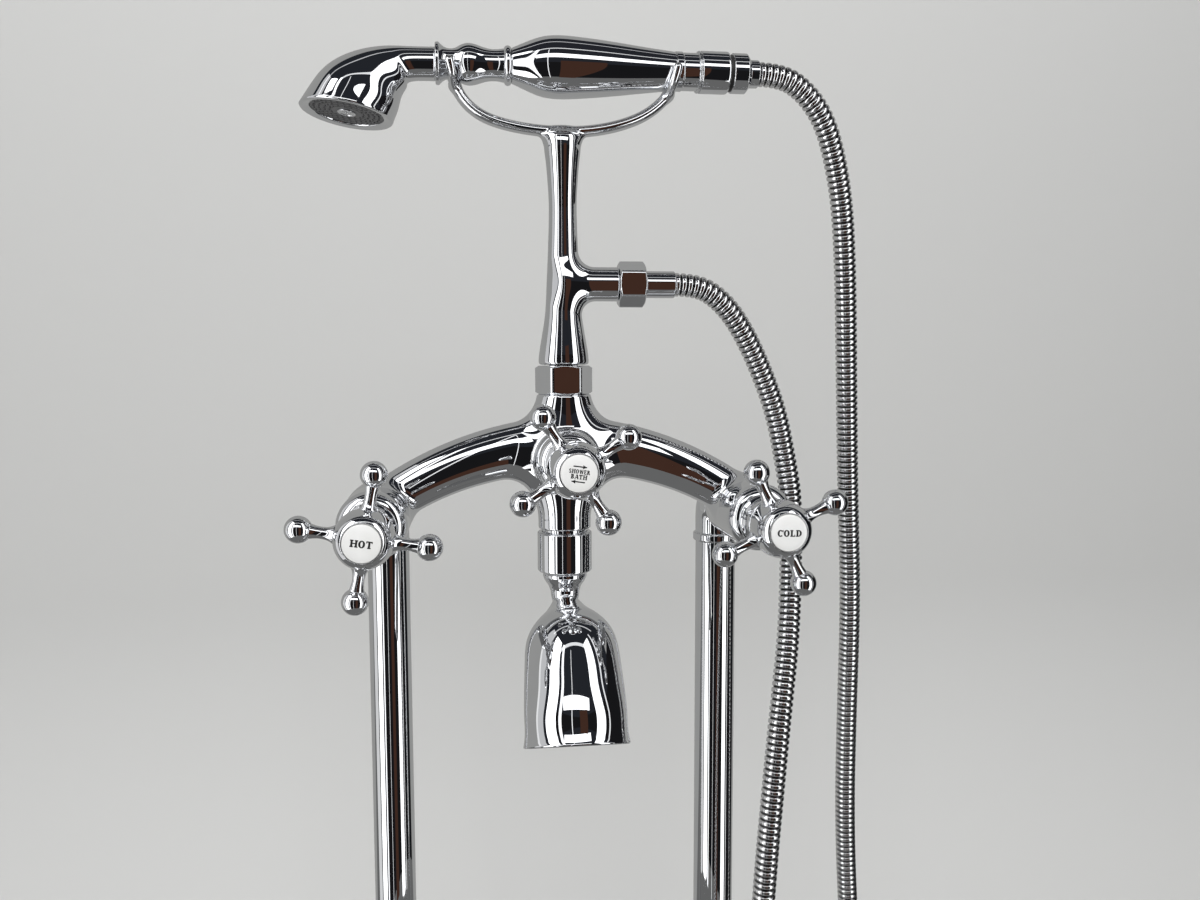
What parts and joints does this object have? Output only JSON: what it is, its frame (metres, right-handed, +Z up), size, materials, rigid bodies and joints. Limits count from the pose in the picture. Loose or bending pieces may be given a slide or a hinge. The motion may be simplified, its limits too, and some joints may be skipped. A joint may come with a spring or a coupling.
{
  "type": "floor standing bath and shower mixer",
  "caption": "Traditional chrome bath filler on two standpipes: crescent body, cross handles, bell spout, cradle with telephone handset and metal hose.",
  "frame": {"origin": "on the floor, midway between the two standpipes, at the centre of the floor screws", "axes": "+Z up along the standpipes, +X to the right as the bather faces it, -Y towards the bather"},
  "size_m": [0.3719, 0.2019, 1.0767],
  "materials": {
    "chrome": "polished",
    "hose_metal": "polished",
    "ceramic": "glazed",
    "brass": "machined",
    "rubber": "matte",
    "steel": "machined",
    "slip_plastic": "satin",
    "spray_grey": "satin",
    "black_plastic": "satin"
  },
  "bodies": {
    "mixer": {"left_floor_flange": "brass", "left_flange_cover": "chrome", "left_standpipe": "chrome", "left_elbow": "chrome", "right_floor_flange": "brass", "right_flange_cover": "chrome", "right_standpipe": "chrome", "right_elbow": "chrome", "standpipe_seals": "rubber", "inlet_union_nuts": "chrome", "inlet_washers": "rubber", "mixer_body": "chrome", "hot_cartridge": "brass", "hot_bonnet": "chrome", "cold_cartridge": "brass", "cold_bonnet": "chrome", "diverter_cartridge": "brass", "diverter_bonnet": "chrome", "riser_nut": "chrome", "riser_washer": "rubber", "riser_tail": "brass", "riser": "chrome", "hose_nut": "chrome", "hose_washer": "rubber", "hose_ferrule_lower": "chrome", "hose": "hose_metal", "spout_collar": "chrome", "spout_slip_rings": "slip_plastic"},
    "hot_handle": {"hot_spindle": "brass", "hot_hub": "chrome", "hot_spokes": "chrome", "hot_handle_screw": "steel", "hot_index": "ceramic"},
    "cold_handle": {"cold_spindle": "brass", "cold_hub": "chrome", "cold_spokes": "chrome", "cold_handle_screw": "steel", "cold_index": "ceramic"},
    "diverter_handle": {"diverter_spindle": "brass", "diverter_hub": "chrome", "diverter_spokes": "chrome", "diverter_handle_screw": "steel", "diverter_index": "ceramic"},
    "spout_body": {"spout": "chrome", "spout_seals": "rubber"},
    "handset": {"hose_ferrule_upper": "chrome", "hose_cone": "chrome", "hose_cone_ring": "black_plastic", "handset_nut": "chrome", "handset_washer": "rubber", "handset_tail": "chrome", "handset_handle": "chrome", "handset_baluster": "chrome", "handset_head": "chrome", "spray_plate": "spray_grey", "spray_jet": "chrome"}
  },
  "joints": [
    {"name": "hot_turn", "type": "hinge", "parent": "mixer", "child": "hot_handle", "pos_m": [-0.11, -0.0685, 0.8], "axis": [0, -1, 0], "range_deg": [0, 90]},
    {"name": "cold_turn", "type": "hinge", "parent": "mixer", "child": "cold_handle", "pos_m": [0.11, -0.0685, 0.8], "axis": [0, 1, 0], "range_deg": [0, 90]},
    {"name": "diverter_turn", "type": "hinge", "parent": "mixer", "child": "diverter_handle", "pos_m": [0, -0.0685, 0.8324], "axis": [0, -1, 0], "range_deg": [0, 90]},
    {"name": "spout_swivel", "type": "hinge", "parent": "mixer", "child": "spout_body", "pos_m": [0, -0.0685, 0.8], "axis": [0, 0, 1], "range_deg": [-60, 60]},
    {"name": "handset_lift", "type": "slide", "parent": "mixer", "child": "handset", "axis": [0, 0, 1], "range_m": [0, 0.04], "deforming": ["hose"]}
  ]
}
